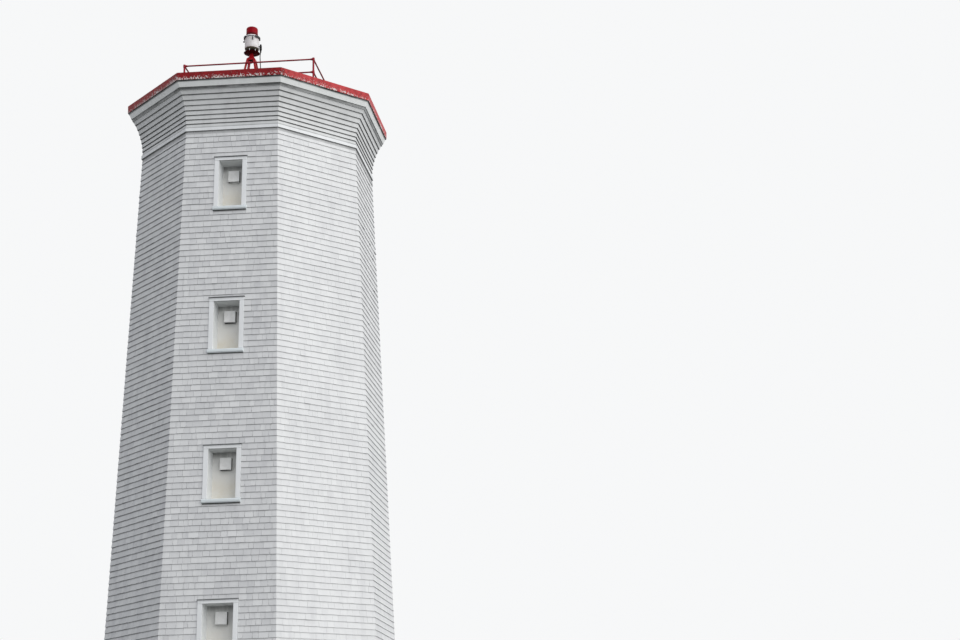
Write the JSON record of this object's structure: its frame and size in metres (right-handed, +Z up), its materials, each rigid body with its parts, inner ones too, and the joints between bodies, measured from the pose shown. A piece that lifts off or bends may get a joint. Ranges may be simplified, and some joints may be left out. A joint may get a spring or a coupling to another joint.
{
  "type": "octagonal shingled lighthouse tower",
  "caption": "Tall tapering octagonal timber tower clad in white shingles, with a flared clapboard cornice, red fascia, railed roof deck and a small beacon on a red stand.",
  "frame": {"origin": "centre of the octagonal foundation's underside, at ground level", "axes": "+Z up the tower's axis; -Y out of the front wall, the one whose window column the picture shows; +X to the right seen from the front"},
  "size_m": [6.2808, 6.7008, 20.7082],
  "materials": {
    "masonry": "rough mortared masonry",
    "floor_boards": "worn boards",
    "painted_wall": "white painted boards under painted shingles",
    "white_trim": "white gloss paint on boards",
    "clapboard_paint": "white paint on lapped boards",
    "bare_timber": "rough sawn",
    "window_panel": "cream painted panel, stained at the foot",
    "vent_paint": "pale grey paint on sheet metal",
    "door_paint": "red paint on boards",
    "red_fascia_paint": "red paint, peeling to white below",
    "deck_paint": "worn red deck paint",
    "red_metal": "red paint on galvanised steel",
    "zinc_steel": "zinc plated",
    "bronze": "dark brown bronze casting",
    "white_enamel": "white enamel",
    "grey_metal": "weathered grey metal",
    "red_lens_cap": "glossy red",
    "black_rubber": "matt black"
  },
  "bodies": {
    "root": {"foundation": "masonry", "ground_floor": "floor_boards", "upper_floors": "floor_boards", "front_wall": "painted_wall", "front_right_wall": "painted_wall", "right_wall": "painted_wall", "back_right_wall": "painted_wall", "back_wall": "painted_wall", "back_left_wall": "painted_wall", "left_wall": "painted_wall", "front_left_wall": "painted_wall", "front_casings": "white_trim", "front_sills": "white_trim", "front_panels": "window_panel", "front_vents": "vent_paint", "back_casings": "white_trim", "back_sills": "white_trim", "back_panels": "window_panel", "back_vents": "vent_paint", "drip_caps": "white_trim", "door_frame": "white_trim", "entrance_door": "door_paint", "entrance_step": "masonry", "cornice_trim": "white_trim", "cornice_core": "bare_timber", "cornice_clapboards": "clapboard_paint", "frieze_boards": "white_trim", "bed_mould": "white_trim", "red_fascia": "red_fascia_paint", "roof_deck": "deck_paint", "railing_posts": "red_metal", "railing_rails": "red_metal", "roof_hatch": "deck_paint", "beacon_stand": "red_metal", "beacon_disc": "red_metal", "levelling_studs": "zinc_steel", "beacon_base": "bronze", "beacon_drum": "white_enamel", "clamp_ring": "grey_metal", "beacon_collar": "white_enamel", "beacon_cap": "red_lens_cap", "beacon_latches": "grey_metal", "cable_plug": "black_rubber", "beacon_cable": "black_rubber", "deck_gland": "grey_metal"}
  },
  "joints": []
}
